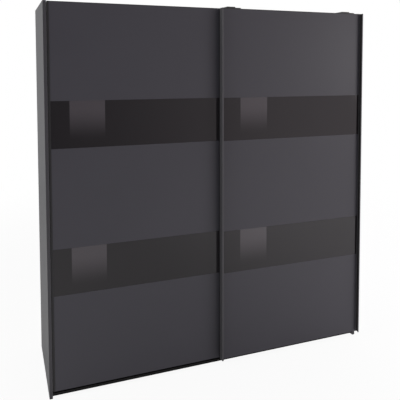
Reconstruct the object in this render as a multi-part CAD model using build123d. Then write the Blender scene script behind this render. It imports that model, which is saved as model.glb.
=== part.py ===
from build123d import *
import os

# Sliding door wardrobe: two hanging doors on a double top track, in front of a two-bay board carcass.
# Millimetres. X runs along the front, -Y is the front, +Z is up.
# The origin is on the floor, at the centre of the overall footprint.

# Overall size
WIDTH = 1800.0
DEPTH = 640.0
SIDE_HEIGHT = 1980.0

# Board and glass stock
BOARD = 16.0
BACK_SHEET = 3.0
GLASS = 4.0
EDGE_ROUND = 0.8
GLASS_ROUND = 0.4
SOFT_ROUND = 1.5

# Doors: leaf, bands and edge profiles
DOOR_WIDTH = 896.0
DOOR_BOTTOM = 37.0
DOOR_TOP = 1977.0
DOOR_PITCH = 26.0
FIELD_OUTER = 484.0
BAND_HEIGHT = 236.0
BAND_GAP = 0.25
BAND_END_PLAY = 0.2
GRIP_PROUD = 22.0
GRIP_WALL = 2.5
GRIP_LIP = 8.0
GRIP_LIP_THICK = 2.0
GRIP_CORNER = 1.6
GRIP_LEG = 10.0
TRIM_WALL = 2.0
TRIM_CORNER = 0.8
LEG_THICK = 1.2

# Carcass levels and depths
GLIDER_HEIGHT = 3.0
BASE_UNDER = 17.0
TOP_UNDER = 1933.0
BACK_INSET = 12.0
SIDE_PROUD = 1.0
PARTITION_SETBACK = 62.0
PARTITION_BACK_GAP = 1.5
GROOVE_DEEP = 6.0
GROOVE_PLAY = 0.2
SHEET_END_PLAY = 0.5
STRIP_HALF_WEB = 1.5
STRIP_HALF_FLANGE = 12.0
STRIP_THICK = 1.0

# Hat shelves, their pins, the clothes rails and their cups
SHELF_TOP = 1660.0
SHELF_PLAY = 1.0
SHELF_SETBACK = 66.0
SHELF_BACK_GAP = 3.0
PIN_R = 2.5
PIN_IN = 7.5
PIN_OUT = 8.0
PIN_FRONT_INSET = 45.0
PIN_BACK_INSET = 55.0
RAIL_DROP = 90.0
RAIL_Y = 30.0
RAIL_TALL = 30.0
RAIL_WIDE = 15.0
RAIL_WALL = 1.2
RAIL_END_PLAY = 0.5
CUP_THICK = 2.0
CUP_WALL = 2.5
CUP_DEEP = 12.0
CUP_PLAY = 0.6

# Cam discs and bolts
CAM_R = 7.5
CAM_DEEP = 12.0
CAM_REACH = 34.0
CAM_FRONT_INSET = 90.0
CAM_BACK_INSET = 60.0
BOLT_R = 3.0
BOLT_IN = 10.0

# Gliders and feet
GLIDER_R = 7.0
GLIDER_INSET = 60.0
NAIL_R = 1.5
NAIL_TOP = 14.0
FOOT_R = 18.0
FOOT_THICK = 5.0
FOOT_STEM_R = 6.0
FOOT_INSET = 60.0
FOOT_MIDDLE_Y = 40.0

# Travel of each door
REAR_TRAVEL = 868.0
FRONT_TRAVEL = 900.0
REAR_DOOR_PLAY = 2.0

# Hangers and their wheels
HANGER_LENGTH = 81.0
HANGER_TALL = 48.0
HANGER_INSET_LEFT = 42.0
HANGER_INSET_RIGHT = 40.0
HANGER_TOP = 1987.5
HANGER_TAIL_TOP = 1983.0
TAIL_LAP = 4.0
PLATE_BOTTOM = 1905.0
PLATE_THICK = 3.0
PLATE_TUCK = 2.0
PLATE_RISE = 3.0
WEB_THICK = 1.5
WEB_ABOVE_DOOR = 0.2
ARM_ABOVE_DOOR = 2.0
CHEEK = 3.0
CHEEK_GAP = 2.0
CHEEK_SKIRT = 2.0
HANGER_SCREW_XS = (12.0, 69.0)
HANGER_SCREW_ZS = (1918.0, 1963.0)
WHEEL_FLANGE_R = 11.0
WHEEL_TREAD_R = 9.0
WHEEL_WIDE = 10.0
WHEEL_EASE = 1.0
TREAD_WIDE = 4.0
TREAD_SLOPE = 0.4
WHEEL_LIFT = 0.3
WHEEL_PLAY = 0.06
AXLE_R = 2.5
AXLE_HEAD_R = 3.6
AXLE_HEAD = 0.9
AXLE_PLAY = 0.3
SEAT_PLAY = 0.05

# Double top track and its stops
TRACK_SETBACK = 5.0
TRACK_BASE = 2.0
TRACK_BEHIND = 14.0
RIB_WIDE = 3.0
RIB_TALL = 4.0
RIB_FLAT = 0.2
REAR_LANE = 19.0
LANE_PITCH = 26.0
STOP_CLEAR = 0.5
STOP_HALF = 10.0
STOP_RISE = 8.0
TRACK_SCREW_X = 830.0
TRACK_SCREWS = 7

# Double guide rail under the doors
GUIDE_DEPTH = 40.0
GUIDE_WALL = 3.0
GUIDE_PITCH = 18.5
GUIDE_FLOOR = 2.5
GUIDE_RIB_TOP = 30.0
FLANGE_LONG = 20.0
FLANGE_THICK = 1.5
GUIDE_SCREW_X = 840.0
GUIDE_SCREW_INSET = 11.0
GUIDE_SCREWS = 6

# Guide angles and shoes on the doors
ANGLE_THICK = 1.5
ANGLE_WIDE = 40.0
ANGLE_TOP = 80.0
ANGLE_INSET = 70.0
ANGLE_SCREW_X = 11.0
ANGLE_SCREW_Z = 62.0
REAR_ANGLE_UNDER = 33.2
FRONT_ANGLE_UNDER = 32.0
REAR_ANGLE_PAST_GROOVE = 7.0
FRONT_ANGLE_GAP = 2.0
SHOE_WIDE = 15.0
SHOE_LONG = 36.0
SHOE_BOTTOM = 20.0

# Wall angles
BRACKET_THICK = 2.0
BRACKET_WIDE = 30.0
BRACKET_LONG = 60.0
BRACKET_TALL = 28.0
BRACKET_X = 450.0
BRACKET_SCREW_X = 8.0
BRACKET_SCREW_INSET = 18.0
WALL_HOLE_R = 3.0
WALL_HOLE_UP = 17.0

# Fasteners
SCREW_R = 1.75
SCREW_HEAD_R = 3.5
SCREW_HEAD_TALL = 2.0
LOW_HEAD_TALL = 1.5
SCREW_LONG = 12.0
HOLE_PLAY = 0.1
OVERCUT = 1.0

# Derived planes and levels
SIDE_X = WIDTH / 2
INNER_X = SIDE_X - BOARD
HALF_BOARD = BOARD / 2
BACK_Y = DEPTH / 2
TIP_Y = -DEPTH / 2
FRONT_FACE_Y = TIP_Y + GRIP_PROUD
FRONT_BACK_Y = FRONT_FACE_Y + BOARD
REAR_FACE_Y = FRONT_FACE_Y + DOOR_PITCH
REAR_BACK_Y = REAR_FACE_Y + BOARD
SIDE_FRONT_Y = REAR_FACE_Y - SIDE_PROUD
GUIDE_BACK_Y = SIDE_FRONT_Y + GUIDE_DEPTH
PARTITION_FRONT_Y = SIDE_FRONT_Y + PARTITION_SETBACK
SHELF_FRONT_Y = SIDE_FRONT_Y + SHELF_SETBACK
SHEET_Y = BACK_Y - BACK_INSET - BACK_SHEET
BASE_TOP = BASE_UNDER + BOARD
TOP_TOP = TOP_UNDER + BOARD
TRACK_TOP = TOP_TOP + TRACK_BASE
RIB_TOP = TRACK_TOP + RIB_TALL
AXLE_Z = RIB_TOP + WHEEL_LIFT + WHEEL_TREAD_R
TRACK_FRONT_Y = REAR_BACK_Y + TRACK_SETBACK
REAR_LANE_Y = REAR_BACK_Y + REAR_LANE
FRONT_LANE_Y = REAR_LANE_Y + LANE_PITCH
CHEEK_IN = WHEEL_WIDE / 2 + CHEEK_GAP
FRONT_GROOVE_Y = SIDE_FRONT_Y + (GUIDE_WALL + GUIDE_PITCH) / 2
REAR_GROOVE_Y = SIDE_FRONT_Y + (GUIDE_PITCH + GUIDE_DEPTH) / 2
REAR_LEFT_X = REAR_DOOR_PLAY - INNER_X
FRONT_LEFT_X = SIDE_X - DOOR_WIDTH

nodes = {}


def block(x0, x1, y0, y1, z0, z1):
    """A box between two corners."""
    centre = Pos((x0 + x1) / 2, (y0 + y1) / 2, (z0 + z1) / 2)
    return centre * Box(abs(x1 - x0), abs(y1 - y0), abs(z1 - z0))


def board(x0, x1, y0, y1, z0, z1, radius=EDGE_ROUND):
    """A box with its edges eased, as an edge-banded board or a ground pane has."""
    solid = block(x0, x1, y0, y1, z0, z1)
    return fillet(solid.edges(), radius)


def bar_z(outline, z0, z1):
    """An outline in X and Y carried up from z0 to z1."""
    face = make_face(Polyline(*outline, close=True))
    return extrude(Pos(0, 0, z0) * face, amount=z1 - z0)


def bar_x(outline, x0, x1):
    """An outline in Y and Z carried along X from x0 to x1."""
    face = make_face(Polyline(*outline, close=True))
    return extrude(Plane.YZ.offset(x0) * face, amount=x1 - x0)


def oval(y, z, wide, tall, x0, x1):
    """An upright oval bar along X: two half rounds joined by flats."""
    section = SlotOverall(tall, wide, rotation=90)
    return extrude(Plane.YZ.offset(x0) * Pos(y, z) * section, amount=x1 - x0)


def rod(start, axis, radius, length):
    """A round bar from a start point along X, Y or Z; a negative length runs the other way."""
    turn = {"X": Rot(0, 90, 0), "Y": Rot(-90, 0, 0), "Z": Rot(0, 0, 0)}[axis]
    step = {"X": (1, 0, 0), "Y": (0, 1, 0), "Z": (0, 0, 1)}[axis]
    middle = [p + s * length / 2 for p, s in zip(start, step)]
    return Pos(*middle) * turn * Cylinder(radius, abs(length))


def spread(last, count):
    """Evenly spaced values from -last to last."""
    return [last * (2 * i / (count - 1) - 1) for i in range(count)]


def screw(seat, axis, sense, head_tall=SCREW_HEAD_TALL):
    """A pan-head screw: its head stands off the seat point and its shank runs on along axis * sense."""
    head = rod(seat, axis, SCREW_HEAD_R, -sense * head_tall)
    shank = rod(seat, axis, SCREW_R, sense * SCREW_LONG)
    return head + shank


def screw_hole(seat, axis, sense):
    """The room that a screw's shank needs, from a little outside its seat to just past its tip."""
    step = {"X": (1, 0, 0), "Y": (0, 1, 0), "Z": (0, 0, 1)}[axis]
    start = [p - s * sense * OVERCUT for p, s in zip(seat, step)]
    return rod(start, axis, SCREW_R + HOLE_PLAY, sense * (OVERCUT + SCREW_LONG + 2 * HOLE_PLAY))


def cut(name, tool):
    """Takes a tool solid out of a node."""
    nodes[name] = nodes[name] - tool


def bore(solids, holes):
    """Each of several solids with every hole taken out of it."""
    bored = []
    for solid in solids:
        for hole in holes:
            solid = solid - hole
        bored.append(solid)
    return bored


def group(solids):
    """Several separate solids kept in one node."""
    return Compound(children=[s if isinstance(s, Solid) else s.solid() for s in solids])


def drive_screws(name, seats, axis, sense, boards):
    """Fills a node with like screws and bores the boards that they go into."""
    nodes[name] = group([screw(seat, axis, sense) for seat in seats])
    for seat in seats:
        for target in boards:
            cut(target, screw_hole(seat, axis, sense))


def make_carcass():
    """Sides, top, bottom, partition and the two back sheets with their joint strip."""
    for name, hand in (("side_panel_left", -1), ("side_panel_right", 1)):
        x0, x1 = sorted((hand * INNER_X, hand * SIDE_X))
        panel = board(x0, x1, SIDE_FRONT_Y, BACK_Y, GLIDER_HEIGHT, SIDE_HEIGHT)
        g0, g1 = sorted((hand * INNER_X, hand * (INNER_X + GROOVE_DEEP)))
        groove = block(g0, g1, SHEET_Y - GROOVE_PLAY, SHEET_Y + BACK_SHEET + GROOVE_PLAY,
                       BASE_UNDER, TOP_TOP + GROOVE_PLAY)
        nodes[name] = panel - groove
    nodes["top_panel"] = block(-INNER_X, INNER_X, TRACK_FRONT_Y, SHEET_Y, TOP_UNDER, TOP_TOP)
    nodes["bottom_panel"] = block(-INNER_X, INNER_X, GUIDE_BACK_Y, SHEET_Y, BASE_UNDER, BASE_TOP)
    nodes["middle_partition"] = board(-HALF_BOARD, HALF_BOARD, PARTITION_FRONT_Y,
                                      SHEET_Y - PARTITION_BACK_GAP, BASE_TOP, TOP_UNDER)
    for name, hand in (("back_sheet_left", -1), ("back_sheet_right", 1)):
        near = hand * (STRIP_HALF_WEB + GROOVE_PLAY)
        far = hand * (INNER_X + GROOVE_DEEP - SHEET_END_PLAY)
        x0, x1 = sorted((near, far))
        nodes[name] = block(x0, x1, SHEET_Y, SHEET_Y + BACK_SHEET, BASE_UNDER, TOP_TOP)
    front = SHEET_Y - GROOVE_PLAY
    back = SHEET_Y + BACK_SHEET + GROOVE_PLAY
    web = block(-STRIP_HALF_WEB, STRIP_HALF_WEB, front, back, BASE_TOP, TOP_UNDER)
    inner = block(-STRIP_HALF_FLANGE, STRIP_HALF_FLANGE, front - STRIP_THICK, front, BASE_TOP, TOP_UNDER)
    outer = block(-STRIP_HALF_FLANGE, STRIP_HALF_FLANGE, back, back + STRIP_THICK, BASE_TOP, TOP_UNDER)
    nodes["back_joint_strip"] = web + inner + outer


def make_shelves():
    """A hat shelf and an oval clothes rail in each bay, on pins and in screwed cups."""
    rail_z = SHELF_TOP - RAIL_DROP
    pin_z = SHELF_TOP - BOARD - PIN_R
    pins, cups = [], []
    for bay, x0, x1 in (("left", -INNER_X, -HALF_BOARD), ("right", HALF_BOARD, INNER_X)):
        nodes["hat_shelf_" + bay] = board(x0 + SHELF_PLAY, x1 - SHELF_PLAY, SHELF_FRONT_Y,
                                          SHEET_Y - SHELF_BACK_GAP, SHELF_TOP - BOARD, SHELF_TOP)
        gap = CUP_THICK + RAIL_END_PLAY
        tube = oval(RAIL_Y, rail_z, RAIL_WIDE, RAIL_TALL, x0 + gap, x1 - gap)
        hollow = oval(RAIL_Y, rail_z, RAIL_WIDE - 2 * RAIL_WALL, RAIL_TALL - 2 * RAIL_WALL, x0, x1)
        nodes["clothes_rail_" + bay] = tube - hollow
        for wall, sense in ((x0, 1), (x1, -1)):
            ends = sorted((wall, wall + sense * CUP_DEEP))
            body = oval(RAIL_Y, rail_z, RAIL_WIDE + 2 * CUP_WALL, RAIL_TALL + 2 * CUP_WALL, *ends)
            ends = sorted((wall + sense * CUP_THICK, wall + sense * (CUP_DEEP + OVERCUT)))
            pocket = oval(RAIL_Y, rail_z, RAIL_WIDE + CUP_PLAY, RAIL_TALL + CUP_PLAY, *ends)
            cups.append(body - pocket)
            target = "middle_partition" if abs(wall) < BOARD else "side_panel_" + bay
            for pin_y in (SHELF_FRONT_Y + PIN_FRONT_INSET, SHEET_Y - PIN_BACK_INSET):
                start = (wall - sense * PIN_IN, pin_y, pin_z)
                pins.append(rod(start, "X", PIN_R, sense * (PIN_IN + PIN_OUT)))
                cut(target, rod(start, "X", PIN_R + HOLE_PLAY / 2, sense * (PIN_IN + OVERCUT)))
    nodes["shelf_pins"] = group(pins)
    nodes["rail_cups"] = group(cups)


def make_cams():
    """Cam discs and bolts that lock the top and bottom panels to the side panels."""
    discs, bolts = [], []
    bolt_long = CAM_REACH - CAM_R - HOLE_PLAY + BOLT_IN
    for panel, under in (("top_panel", TOP_UNDER), ("bottom_panel", BASE_UNDER)):
        for hand, side in ((-1, "side_panel_left"), (1, "side_panel_right")):
            for y in (SIDE_FRONT_Y + CAM_FRONT_INSET, 0.0, SHEET_Y - CAM_BACK_INSET):
                x = hand * (INNER_X - CAM_REACH)
                discs.append(rod((x, y, under), "Z", CAM_R, CAM_DEEP))
                cut(panel, rod((x, y, under), "Z", CAM_R + HOLE_PLAY, CAM_DEEP + HOLE_PLAY))
                mid_z = under + HALF_BOARD
                bolts.append(rod((x + hand * (CAM_R + HOLE_PLAY), y, mid_z), "X", BOLT_R, hand * bolt_long))
                channel_long = CAM_REACH + BOLT_IN + HOLE_PLAY
                channel = rod((x, y, mid_z), "X", BOLT_R + HOLE_PLAY, hand * channel_long)
                cut(panel, channel)
                cut(side, channel)
    nodes["cam_discs"] = group(discs)
    nodes["cam_bolts"] = group(bolts)


def make_supports():
    """Nail-on gliders under the sides, and adjustable feet under the middle of the bottom panel."""
    gliders = []
    for hand, side in ((-1, "side_panel_left"), (1, "side_panel_right")):
        for y in (SIDE_FRONT_Y + GLIDER_INSET, BACK_Y - GLIDER_INSET):
            base = (hand * (SIDE_X - HALF_BOARD), y, 0.0)
            gliders.append(rod(base, "Z", GLIDER_R, GLIDER_HEIGHT) + rod(base, "Z", NAIL_R, NAIL_TOP))
            cut(side, rod(base, "Z", NAIL_R + HOLE_PLAY, NAIL_TOP + HOLE_PLAY))
    nodes["floor_gliders"] = group(gliders)
    feet = []
    for y in (GUIDE_BACK_Y + FOOT_INSET, FOOT_MIDDLE_Y, SHEET_Y - FOOT_INSET):
        feet.append(rod((0, y, 0), "Z", FOOT_R, FOOT_THICK) + rod((0, y, 0), "Z", FOOT_STEM_R, BASE_UNDER))
    nodes["middle_feet"] = group(feet)


def make_top_track():
    """Aluminium double track: a base strip with one running rib for each door, screwed to the top panel."""
    track = block(-INNER_X, INNER_X, TRACK_FRONT_Y, FRONT_LANE_Y + TRACK_BEHIND, TOP_TOP, TRACK_TOP)
    for lane in (REAR_LANE_Y, FRONT_LANE_Y):
        rib = block(-INNER_X, INNER_X, lane - RIB_WIDE / 2, lane + RIB_WIDE / 2, TRACK_TOP, RIB_TOP)
        crown = rib.edges().filter_by(Axis.X).group_by(Axis.Z)[-1]
        track = track + fillet(crown, RIB_WIDE / 2 - RIB_FLAT)
    nodes["top_track"] = track
    mid_y = (REAR_LANE_Y + FRONT_LANE_Y) / 2
    seats = [(x, mid_y, TRACK_TOP) for x in spread(TRACK_SCREW_X, TRACK_SCREWS)]
    nodes["track_screws"] = group([screw(seat, "Z", -1, LOW_HEAD_TALL) for seat in seats])
    for seat in seats:
        cut("top_track", screw_hole(seat, "Z", -1))
        cut("top_panel", screw_hole(seat, "Z", -1))


def make_track_stops():
    """Rubber buffers at the ends of each lane, which the hangers come up against."""
    rear_left = REAR_LEFT_X + HANGER_INSET_LEFT - STOP_CLEAR
    rear_right = REAR_LEFT_X + DOOR_WIDTH - HANGER_INSET_RIGHT + REAR_TRAVEL + STOP_CLEAR
    front_left = FRONT_LEFT_X + HANGER_INSET_LEFT - FRONT_TRAVEL - STOP_CLEAR
    front_right = SIDE_X - HANGER_INSET_RIGHT + STOP_CLEAR
    stops = []
    for lane, left, right in ((REAR_LANE_Y, rear_left, rear_right), (FRONT_LANE_Y, front_left, front_right)):
        slot_half = RIB_WIDE / 2 + HOLE_PLAY
        for x0, x1 in ((-INNER_X, left), (right, INNER_X)):
            buffer = board(x0, x1, lane - STOP_HALF, lane + STOP_HALF,
                           TRACK_TOP, AXLE_Z + STOP_RISE, SOFT_ROUND)
            slot = block(x0 - OVERCUT, x1 + OVERCUT, lane - slot_half, lane + slot_half,
                         TOP_TOP, RIB_TOP + HOLE_PLAY)
            stops.append(buffer - slot)
    nodes["track_stops"] = group(stops)


def make_guide_rail():
    """Black double guide rail in front of the bottom panel: three ribs, two grooves and a fixing flange."""
    y0, y1 = SIDE_FRONT_Y, GUIDE_BACK_Y
    floor_z = BASE_UNDER + GUIDE_FLOOR
    flange_top = BASE_TOP + FLANGE_THICK
    rib0 = y0 + GUIDE_PITCH
    rib1 = rib0 + GUIDE_WALL
    outline = [(y0, BASE_UNDER), (y1, BASE_UNDER), (y1, BASE_TOP), (y1 + FLANGE_LONG, BASE_TOP),
               (y1 + FLANGE_LONG, flange_top), (y1 - GUIDE_WALL, flange_top), (y1 - GUIDE_WALL, floor_z),
               (rib1, floor_z), (rib1, GUIDE_RIB_TOP), (rib0, GUIDE_RIB_TOP), (rib0, floor_z),
               (y0 + GUIDE_WALL, floor_z), (y0 + GUIDE_WALL, GUIDE_RIB_TOP), (y0, GUIDE_RIB_TOP)]
    nodes["bottom_guide_rail"] = bar_x(outline, -INNER_X, INNER_X)
    seats = [(x, y1 + GUIDE_SCREW_INSET, flange_top) for x in spread(GUIDE_SCREW_X, GUIDE_SCREWS)]
    drive_screws("guide_rail_screws", seats, "Z", -1, ("bottom_guide_rail", "bottom_panel"))


def make_wall_brackets():
    """Two steel angles on the top panel, with a hole for a screw into the wall."""
    half = BRACKET_WIDE / 2
    foot_top = TOP_TOP + BRACKET_THICK
    angles, seats = [], []
    for x in (-BRACKET_X, BRACKET_X):
        foot = block(x - half, x + half, BACK_Y - BRACKET_LONG, BACK_Y, TOP_TOP, foot_top)
        back = block(x - half, x + half, BACK_Y - BRACKET_THICK, BACK_Y, TOP_TOP, TOP_TOP + BRACKET_TALL)
        wall_hole = rod((x, BACK_Y - BRACKET_THICK - OVERCUT, TOP_TOP + WALL_HOLE_UP), "Y", WALL_HOLE_R,
                        BRACKET_THICK + 2 * OVERCUT)
        angles.append(foot + back - wall_hole)
        for side in (-1, 1):
            seats.append((x + side * BRACKET_SCREW_X, BACK_Y - BRACKET_LONG + BRACKET_SCREW_INSET, foot_top))
    holes = [screw_hole(seat, "Z", -1) for seat in seats]
    nodes["wall_brackets"] = group(bore(angles, holes))
    nodes["wall_bracket_screws"] = group([screw(seat, "Z", -1) for seat in seats])
    for hole in holes:
        cut("top_panel", hole)


def make_door(door, left_x, face_y, back_y, grips):
    """One door: board leaf, two flush glass bands and the edge profiles."""
    right_x = left_x + DOOR_WIDTH
    wall = GRIP_WALL if grips else TRIM_WALL
    leaf_x0, leaf_x1 = left_x + wall, right_x - wall
    leaf = board(leaf_x0, leaf_x1, face_y, back_y, DOOR_BOTTOM, DOOR_TOP)
    upper_bottom = DOOR_TOP - FIELD_OUTER - BAND_HEIGHT
    lower_bottom = DOOR_BOTTOM + FIELD_OUTER
    for band, z0 in (("upper", upper_bottom), ("lower", lower_bottom)):
        z1 = z0 + BAND_HEIGHT
        recess = block(leaf_x0 - OVERCUT, leaf_x1 + OVERCUT, face_y - OVERCUT, face_y + GLASS, z0, z1)
        leaf = leaf - recess
        nodes[door + "_glass_" + band] = board(leaf_x0 + BAND_END_PLAY, leaf_x1 - BAND_END_PLAY,
                                               face_y, face_y + GLASS,
                                               z0 + BAND_GAP, z1 - BAND_GAP, GLASS_ROUND)
    nodes[door + "_leaf"] = leaf
    for hand, x_outer, sense in (("left", left_x, 1), ("right", right_x, -1)):
        nodes[door + "_edge_" + hand] = edge_profile(x_outer, sense, face_y, back_y, grips)


def edge_profile(x_outer, sense, face_y, back_y, grip):
    """A door edge profile; a grip profile also stands forward as a finger channel that opens inwards."""
    wall = GRIP_WALL if grip else TRIM_WALL
    leg_back = back_y + LEG_THICK
    leg_front = face_y - LEG_THICK
    section = [(0, leg_back), (GRIP_LEG, leg_back), (GRIP_LEG, back_y), (wall, back_y), (wall, face_y),
               (GRIP_LEG, face_y), (GRIP_LEG, leg_front)]
    if grip:
        lip_back = TIP_Y + GRIP_LIP_THICK
        section += [(wall, leg_front), (wall, lip_back), (GRIP_LIP, lip_back), (GRIP_LIP, TIP_Y), (0, TIP_Y)]
    else:
        section += [(0, leg_front)]
    outline = [(x_outer + sense * u, y) for u, y in section]
    profile = bar_z(outline, DOOR_BOTTOM, DOOR_TOP)
    front_edges = profile.edges().filter_by(Axis.Z).group_by(Axis.Y)[0]
    corner = front_edges.sort_by(Axis.X)[0 if sense > 0 else -1]
    return fillet(corner, GRIP_CORNER if grip else TRIM_CORNER)


def make_hangers(door, left_x, back_y, lane_y, reach_over):
    """Two roller hangers: a back plate on the door, a web or arm, and two cheeks that carry the axle."""
    starts = (left_x + HANGER_INSET_LEFT, left_x + DOOR_WIDTH - HANGER_INSET_RIGHT - HANGER_LENGTH)
    plate_y1 = back_y + PLATE_THICK
    cheek_out = lane_y + CHEEK_IN + CHEEK
    for hand, x0 in zip(("left", "right"), starts):
        x1 = x0 + HANGER_LENGTH
        tall_x = x0 + HANGER_TALL
        if reach_over:
            under = DOOR_TOP + ARM_ABOVE_DOOR
            body = block(x0, x1, back_y, plate_y1, PLATE_BOTTOM, under)
            body += board(x0, tall_x, back_y, cheek_out, under, HANGER_TOP, SOFT_ROUND)
            body += board(tall_x - TAIL_LAP, x1, back_y, cheek_out, under, HANGER_TAIL_TOP, SOFT_ROUND)
            body += block(x0 + PLATE_TUCK, x1 - PLATE_TUCK, back_y, plate_y1,
                          under - PLATE_RISE, under + PLATE_RISE)
        else:
            web_top = DOOR_TOP + WEB_ABOVE_DOOR
            under = web_top - WEB_THICK
            body = block(x0, x1, back_y, plate_y1, PLATE_BOTTOM, web_top)
            body += block(x0, x1, back_y, cheek_out, under, web_top)
        for y0 in (lane_y - CHEEK_IN - CHEEK, lane_y + CHEEK_IN):
            body += block(x0, x1, y0, y0 + CHEEK, RIB_TOP - CHEEK_SKIRT, under + WEB_THICK / 2)
        axle_x = x0 + HANGER_TALL / 2
        seat = rod((axle_x, lane_y - STOP_HALF - OVERCUT, AXLE_Z), "Y", AXLE_R + SEAT_PLAY,
                   2 * (STOP_HALF + OVERCUT))
        nodes[door + "_hanger_" + hand] = body - seat
        nodes[door + "_axle_" + hand] = make_axle(axle_x, lane_y)
        nodes[door + "_wheel_" + hand] = make_wheel(axle_x, lane_y)
    seats = [(x0 + dx, plate_y1, z) for x0 in starts for dx in HANGER_SCREW_XS for z in HANGER_SCREW_ZS]
    plates = [door + "_hanger_" + hand for hand in ("left", "right")]
    drive_screws(door + "_hanger_screws", seats, "Y", -1, plates + [door + "_leaf"])


def make_axle(x, lane_y):
    """A plain steel pin with a thin head outside each cheek."""
    half = CHEEK_IN + CHEEK + AXLE_PLAY
    pin = rod((x, lane_y - half, AXLE_Z), "Y", AXLE_R, 2 * half)
    front_head = rod((x, lane_y - half, AXLE_Z), "Y", AXLE_HEAD_R, -AXLE_HEAD)
    back_head = rod((x, lane_y + half, AXLE_Z), "Y", AXLE_HEAD_R, AXLE_HEAD)
    return pin + front_head + back_head


def make_wheel(x, lane_y):
    """A grooved nylon wheel: two flanges straddle the rib and the tread runs on its crown."""
    half, tread = WHEEL_WIDE / 2, TREAD_WIDE / 2
    bore_r = AXLE_R + WHEEL_PLAY
    eased_r = WHEEL_FLANGE_R - WHEEL_EASE
    outline = [(bore_r, -half), (eased_r, -half), (WHEEL_FLANGE_R, WHEEL_EASE - half),
               (WHEEL_FLANGE_R, -tread - TREAD_SLOPE), (WHEEL_TREAD_R, -tread), (WHEEL_TREAD_R, tread),
               (WHEEL_FLANGE_R, tread + TREAD_SLOPE), (WHEEL_FLANGE_R, half - WHEEL_EASE), (eased_r, half),
               (bore_r, half)]
    face = make_face(Polyline(*outline, close=True))
    return Pos(x, lane_y, AXLE_Z) * revolve(face, Axis.Y)


def make_guides(door, left_x, back_y, groove_y, under, reach_back):
    """Two bent steel angles on the door's back, each with a nylon shoe that runs in the guide rail."""
    half, shoe_half, shoe_deep = ANGLE_WIDE / 2, SHOE_LONG / 2, SHOE_WIDE / 2
    shoes, angles, seats = [], [], []
    for x in (left_x + ANGLE_INSET, left_x + DOOR_WIDTH - ANGLE_INSET):
        upright = block(x - half, x + half, back_y, back_y + ANGLE_THICK, under, ANGLE_TOP)
        foot = block(x - half, x + half, back_y, reach_back, under, under + ANGLE_THICK)
        angles.append(upright + foot)
        shoes.append(board(x - shoe_half, x + shoe_half, groove_y - shoe_deep, groove_y + shoe_deep,
                           SHOE_BOTTOM, under, SOFT_ROUND))
        seats += [(x + dx, back_y + ANGLE_THICK, ANGLE_SCREW_Z) for dx in (-ANGLE_SCREW_X, ANGLE_SCREW_X)]
    holes = [screw_hole(seat, "Y", -1) for seat in seats]
    nodes[door + "_guide_angles"] = group(bore(angles, holes))
    nodes[door + "_guide_shoes"] = group(shoes)
    nodes[door + "_guide_screws"] = group([screw(seat, "Y", -1) for seat in seats])
    for hole in holes:
        cut(door + "_leaf", hole)


make_carcass()
make_shelves()
make_cams()
make_supports()
make_top_track()
make_track_stops()
make_guide_rail()
make_wall_brackets()

make_door("rear_door", REAR_LEFT_X, REAR_FACE_Y, REAR_BACK_Y, False)
make_hangers("rear_door", REAR_LEFT_X, REAR_BACK_Y, REAR_LANE_Y, False)
make_guides("rear_door", REAR_LEFT_X, REAR_BACK_Y, REAR_GROOVE_Y, REAR_ANGLE_UNDER,
            REAR_GROOVE_Y + REAR_ANGLE_PAST_GROOVE)
make_door("front_door", FRONT_LEFT_X, FRONT_FACE_Y, FRONT_BACK_Y, True)
make_hangers("front_door", FRONT_LEFT_X, FRONT_BACK_Y, FRONT_LANE_Y, True)
make_guides("front_door", FRONT_LEFT_X, FRONT_BACK_Y, FRONT_GROOVE_Y, FRONT_ANGLE_UNDER,
            REAR_BACK_Y - FRONT_ANGLE_GAP)

os.makedirs("parts", exist_ok=True)
for name, solid in nodes.items():
    export_step(solid, os.path.join("parts", name + ".step"))
print(len(nodes), "nodes")
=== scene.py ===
import math
from functools import partial

import bmesh
import bpy
import numpy as np
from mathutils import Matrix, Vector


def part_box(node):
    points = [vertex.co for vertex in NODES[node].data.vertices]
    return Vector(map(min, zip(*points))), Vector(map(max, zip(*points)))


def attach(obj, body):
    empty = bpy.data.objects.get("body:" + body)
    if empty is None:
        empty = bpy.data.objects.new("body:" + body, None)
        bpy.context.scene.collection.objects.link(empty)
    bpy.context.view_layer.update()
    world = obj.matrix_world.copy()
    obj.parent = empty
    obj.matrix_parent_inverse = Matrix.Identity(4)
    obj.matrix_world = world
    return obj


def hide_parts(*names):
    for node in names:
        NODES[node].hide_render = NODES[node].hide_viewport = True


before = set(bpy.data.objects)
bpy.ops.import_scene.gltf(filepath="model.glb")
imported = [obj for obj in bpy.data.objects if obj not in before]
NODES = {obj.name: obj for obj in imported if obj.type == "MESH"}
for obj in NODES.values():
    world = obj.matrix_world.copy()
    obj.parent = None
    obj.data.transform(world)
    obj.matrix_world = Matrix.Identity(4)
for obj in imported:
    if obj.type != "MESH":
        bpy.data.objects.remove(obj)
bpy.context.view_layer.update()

bl_info = {
    "name": "Sliding Door Wardrobe",
    "version": (1, 0, 0),
    "blender": (4, 5, 0),
    "location": "View3D > Sidebar > Wardrobe",
    "description": "Finishes, profiles, turned parts and fasteners of a two-door wardrobe, and a studio",
    "category": "Object",
}

DOORS = ("rear_door", "front_door")
HANDS = (("left", 1.0), ("right", -1.0))
MM = 0.001
WHITE = (1.0, 1.0, 1.0)
BOARD_DUST = (0.34, 0.33, 0.31)
FITTING_DUST = (0.36, 0.35, 0.33)
RUBBED_ZINC = (0.8, 0.8, 0.8)
# Near black painted into the grip channel as painted shade.
CHANNEL_PAINTED_SHADE = (0.006, 0.006, 0.006)
WARM_LIGHT = (1.0, 0.90, 0.93)
# Rosy tint of the floor's painted pool of light.
ROSY_PAINTED_LIGHT = (1.0, 0.93, 0.98)


# ---- sizes and colours

def setting(name, description, default, **limits):
    kind = bpy.props.FloatVectorProperty if "size" in limits else bpy.props.FloatProperty
    return kind(name=name, description=description, default=default, **limits)


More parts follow.
